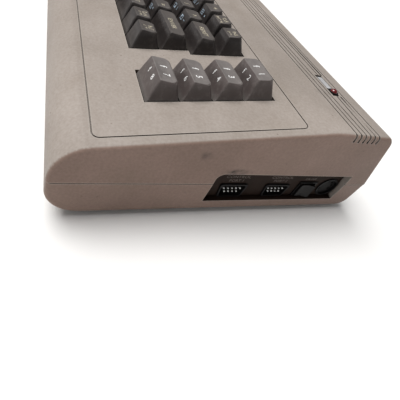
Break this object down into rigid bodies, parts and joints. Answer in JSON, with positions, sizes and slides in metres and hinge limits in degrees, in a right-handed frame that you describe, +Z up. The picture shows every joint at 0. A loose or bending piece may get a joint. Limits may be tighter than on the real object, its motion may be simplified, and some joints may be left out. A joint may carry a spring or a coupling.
{
  "type": "vintage home computer",
  "caption": "Wedge-shaped home computer with a full sculptured keyboard, a column of wide function keys, a side recess of ports and a rear row of sockets.",
  "frame": {"origin": "centre of the bounding box, on the plane of the feet", "axes": "+X to the right end with the ports, +Y to the rear, +Z up"},
  "size_m": [0.404, 0.204, 0.076],
  "materials": {
    "case_plastic": "pale grey-beige moulded plastic, fine grain",
    "keycap": "dark grey-brown keycap plastic, worn",
    "function_key": "mid grey-brown keycap plastic",
    "rubber": "black rubber",
    "screw_steel": "plain steel",
    "black_plastic": "black moulded plastic",
    "board": "green board lacquer",
    "contact_metal": "plated contacts",
    "can_metal": "bright metal cans",
    "shield": "thin folded screen",
    "recess_plastic": "dark brown plate",
    "red_lens": "red lens",
    "grey_strip": "bare grey strip"
  },
  "bodies": {
    "chassis": {"av_socket": "black_plastic", "bottom_case": "case_plastic", "capacitors": "can_metal", "cartridge_connector": "black_plastic", "case_screws": "screw_steel", "control_port_1": "black_plastic", "control_port_2": "black_plastic", "control_port_pins": "contact_metal", "edge_contacts": "contact_metal", "heat_sink": "can_metal", "inner_screws": "screw_steel", "keyboard_circuit_board": "board", "keyboard_frame": "black_plastic", "lamp_plate": "grey_strip", "logic_chips": "black_plastic", "main_circuit_board": "board", "memory_chips": "black_plastic", "modulator_box": "can_metal", "port_plate": "recess_plastic", "power_lamp": "red_lens", "power_socket": "black_plastic", "power_switch_body": "black_plastic", "processor_chips": "black_plastic", "rubber_feet": "rubber", "serial_socket": "black_plastic", "shield_sheet": "shield", "top_case": "case_plastic", "tv_socket": "contact_metal"},
    "channel_selector": {"channel_selector": "black_plastic"},
    "key_f1": {"key_f1": "function_key"},
    "key_f3": {"key_f3": "function_key"},
    "key_f5": {"key_f5": "function_key"},
    "key_f7": {"key_f7": "function_key"},
    "key_row1_13": {"key_row1_13": "keycap"},
    "key_row1_14": {"key_row1_14": "keycap"},
    "key_row1_15": {"key_row1_15": "keycap"},
    "key_row1_16": {"key_row1_16": "keycap"},
    "key_row2_12": {"key_row2_12": "keycap"},
    "key_row2_13": {"key_row2_13": "keycap"},
    "key_row2_14": {"key_row2_14": "keycap"},
    "key_row2_15": {"key_row2_15": "keycap"},
    "key_row3_01": {"key_row3_01": "keycap"},
    "key_row3_02": {"key_row3_02": "keycap"},
    "key_row3_12": {"key_row3_12": "keycap"},
    "key_row3_13": {"key_row3_13": "keycap"},
    "key_row3_14": {"key_row3_14": "keycap"},
    "key_row3_15": {"key_row3_15": "keycap"},
    "key_row4_01": {"key_row4_01": "keycap"},
    "key_row4_02": {"key_row4_02": "keycap"},
    "key_row4_12": {"key_row4_12": "keycap"},
    "key_row4_13": {"key_row4_13": "keycap"},
    "key_row4_14": {"key_row4_14": "keycap"},
    "key_row4_15": {"key_row4_15": "keycap"},
    "key_space_bar": {"key_space_bar": "keycap", "space_bar_wire": "screw_steel"},
    "keys_row1_middle": {"keys_row1_middle": "keycap"},
    "keys_row2_middle": {"keys_row2_middle": "keycap"},
    "keys_row3_middle": {"keys_row3_middle": "keycap"},
    "keys_row4_middle": {"keys_row4_middle": "keycap"},
    "power_switch_rocker": {"power_switch_rocker": "black_plastic"}
  },
  "joints": [
    {"name": "selector_slide", "type": "slide", "parent": "chassis", "child": "channel_selector", "axis": [1, 0, 0], "range_m": [0, 0.004]},
    {"name": "press_f1", "type": "slide", "parent": "chassis", "child": "key_f1", "axis": [0, 0.1478, -0.989], "range_m": [0, 0.0038], "stiffness_N_per_m": 150, "springref_m": -0.002},
    {"name": "press_f3", "type": "slide", "parent": "chassis", "child": "key_f3", "axis": [0, 0.1478, -0.989], "range_m": [0, 0.0038], "stiffness_N_per_m": 150, "springref_m": -0.002},
    {"name": "press_f5", "type": "slide", "parent": "chassis", "child": "key_f5", "axis": [0, 0.1478, -0.989], "range_m": [0, 0.0038], "stiffness_N_per_m": 150, "springref_m": -0.002},
    {"name": "press_f7", "type": "slide", "parent": "chassis", "child": "key_f7", "axis": [0, 0.1478, -0.989], "range_m": [0, 0.0038], "stiffness_N_per_m": 150, "springref_m": -0.002},
    {"name": "press_row1_13", "type": "slide", "parent": "chassis", "child": "key_row1_13", "axis": [0, 0.1478, -0.989], "range_m": [0, 0.0038], "stiffness_N_per_m": 150, "springref_m": -0.002},
    {"name": "press_row1_14", "type": "slide", "parent": "chassis", "child": "key_row1_14", "axis": [0, 0.1478, -0.989], "range_m": [0, 0.0038], "stiffness_N_per_m": 150, "springref_m": -0.002},
    {"name": "press_row1_15", "type": "slide", "parent": "chassis", "child": "key_row1_15", "axis": [0, 0.1478, -0.989], "range_m": [0, 0.0038], "stiffness_N_per_m": 150, "springref_m": -0.002},
    {"name": "press_row1_16", "type": "slide", "parent": "chassis", "child": "key_row1_16", "axis": [0, 0.1478, -0.989], "range_m": [0, 0.0038], "stiffness_N_per_m": 150, "springref_m": -0.002},
    {"name": "press_row2_12", "type": "slide", "parent": "chassis", "child": "key_row2_12", "axis": [0, 0.1478, -0.989], "range_m": [0, 0.0038], "stiffness_N_per_m": 150, "springref_m": -0.002},
    {"name": "press_row2_13", "type": "slide", "parent": "chassis", "child": "key_row2_13", "axis": [0, 0.1478, -0.989], "range_m": [0, 0.0038], "stiffness_N_per_m": 150, "springref_m": -0.002},
    {"name": "press_row2_14", "type": "slide", "parent": "chassis", "child": "key_row2_14", "axis": [0, 0.1478, -0.989], "range_m": [0, 0.0038], "stiffness_N_per_m": 150, "springref_m": -0.002},
    {"name": "press_row2_15", "type": "slide", "parent": "chassis", "child": "key_row2_15", "axis": [0, 0.1478, -0.989], "range_m": [0, 0.0038], "stiffness_N_per_m": 150, "springref_m": -0.002},
    {"name": "press_row3_01", "type": "slide", "parent": "chassis", "child": "key_row3_01", "axis": [0, 0.1478, -0.989], "range_m": [0, 0.0038], "stiffness_N_per_m": 150, "springref_m": -0.002},
    {"name": "press_row3_02", "type": "slide", "parent": "chassis", "child": "key_row3_02", "axis": [0, 0.1478, -0.989], "range_m": [0, 0.0038], "stiffness_N_per_m": 150, "springref_m": -0.002},
    {"name": "press_row3_12", "type": "slide", "parent": "chassis", "child": "key_row3_12", "axis": [0, 0.1478, -0.989], "range_m": [0, 0.0038], "stiffness_N_per_m": 150, "springref_m": -0.002},
    {"name": "press_row3_13", "type": "slide", "parent": "chassis", "child": "key_row3_13", "axis": [0, 0.1478, -0.989], "range_m": [0, 0.0038], "stiffness_N_per_m": 150, "springref_m": -0.002},
    {"name": "press_row3_14", "type": "slide", "parent": "chassis", "child": "key_row3_14", "axis": [0, 0.1478, -0.989], "range_m": [0, 0.0038], "stiffness_N_per_m": 150, "springref_m": -0.002},
    {"name": "press_row3_15", "type": "slide", "parent": "chassis", "child": "key_row3_15", "axis": [0, 0.1478, -0.989], "range_m": [0, 0.0038], "stiffness_N_per_m": 150, "springref_m": -0.002},
    {"name": "press_row4_01", "type": "slide", "parent": "chassis", "child": "key_row4_01", "axis": [0, 0.1478, -0.989], "range_m": [0, 0.0038], "stiffness_N_per_m": 150, "springref_m": -0.002},
    {"name": "press_row4_02", "type": "slide", "parent": "chassis", "child": "key_row4_02", "axis": [0, 0.1478, -0.989], "range_m": [0, 0.0038], "stiffness_N_per_m": 150, "springref_m": -0.002},
    {"name": "press_row4_12", "type": "slide", "parent": "chassis", "child": "key_row4_12", "axis": [0, 0.1478, -0.989], "range_m": [0, 0.0038], "stiffness_N_per_m": 150, "springref_m": -0.002},
    {"name": "press_row4_13", "type": "slide", "parent": "chassis", "child": "key_row4_13", "axis": [0, 0.1478, -0.989], "range_m": [0, 0.0038], "stiffness_N_per_m": 150, "springref_m": -0.002},
    {"name": "press_row4_14", "type": "slide", "parent": "chassis", "child": "key_row4_14", "axis": [0, 0.1478, -0.989], "range_m": [0, 0.0038], "stiffness_N_per_m": 150, "springref_m": -0.002},
    {"name": "press_row4_15", "type": "slide", "parent": "chassis", "child": "key_row4_15", "axis": [0, 0.1478, -0.989], "range_m": [0, 0.0038], "stiffness_N_per_m": 150, "springref_m": -0.002},
    {"name": "press_space_bar", "type": "slide", "parent": "chassis", "child": "key_space_bar", "axis": [0, 0.1478, -0.989], "range_m": [0, 0.0038], "stiffness_N_per_m": 300, "springref_m": -0.002},
    {"name": "press_row1_middle", "type": "slide", "parent": "chassis", "child": "keys_row1_middle", "axis": [0, 0.1478, -0.989], "range_m": [0, 0.0038], "stiffness_N_per_m": 600, "springref_m": -0.002},
    {"name": "press_row2_middle", "type": "slide", "parent": "chassis", "child": "keys_row2_middle", "axis": [0, 0.1478, -0.989], "range_m": [0, 0.0038], "stiffness_N_per_m": 600, "springref_m": -0.002},
    {"name": "press_row3_middle", "type": "slide", "parent": "chassis", "child": "keys_row3_middle", "axis": [0, 0.1478, -0.989], "range_m": [0, 0.0038], "stiffness_N_per_m": 600, "springref_m": -0.002},
    {"name": "press_row4_middle", "type": "slide", "parent": "chassis", "child": "keys_row4_middle", "axis": [0, 0.1478, -0.989], "range_m": [0, 0.0038], "stiffness_N_per_m": 600, "springref_m": -0.002},
    {"name": "power_rocker", "type": "hinge", "parent": "chassis", "child": "power_switch_rocker", "pos_m": [0.1931, 0.0553, 0.0184], "axis": [0, 0, 1], "range_deg": [0, 14]}
  ]
}
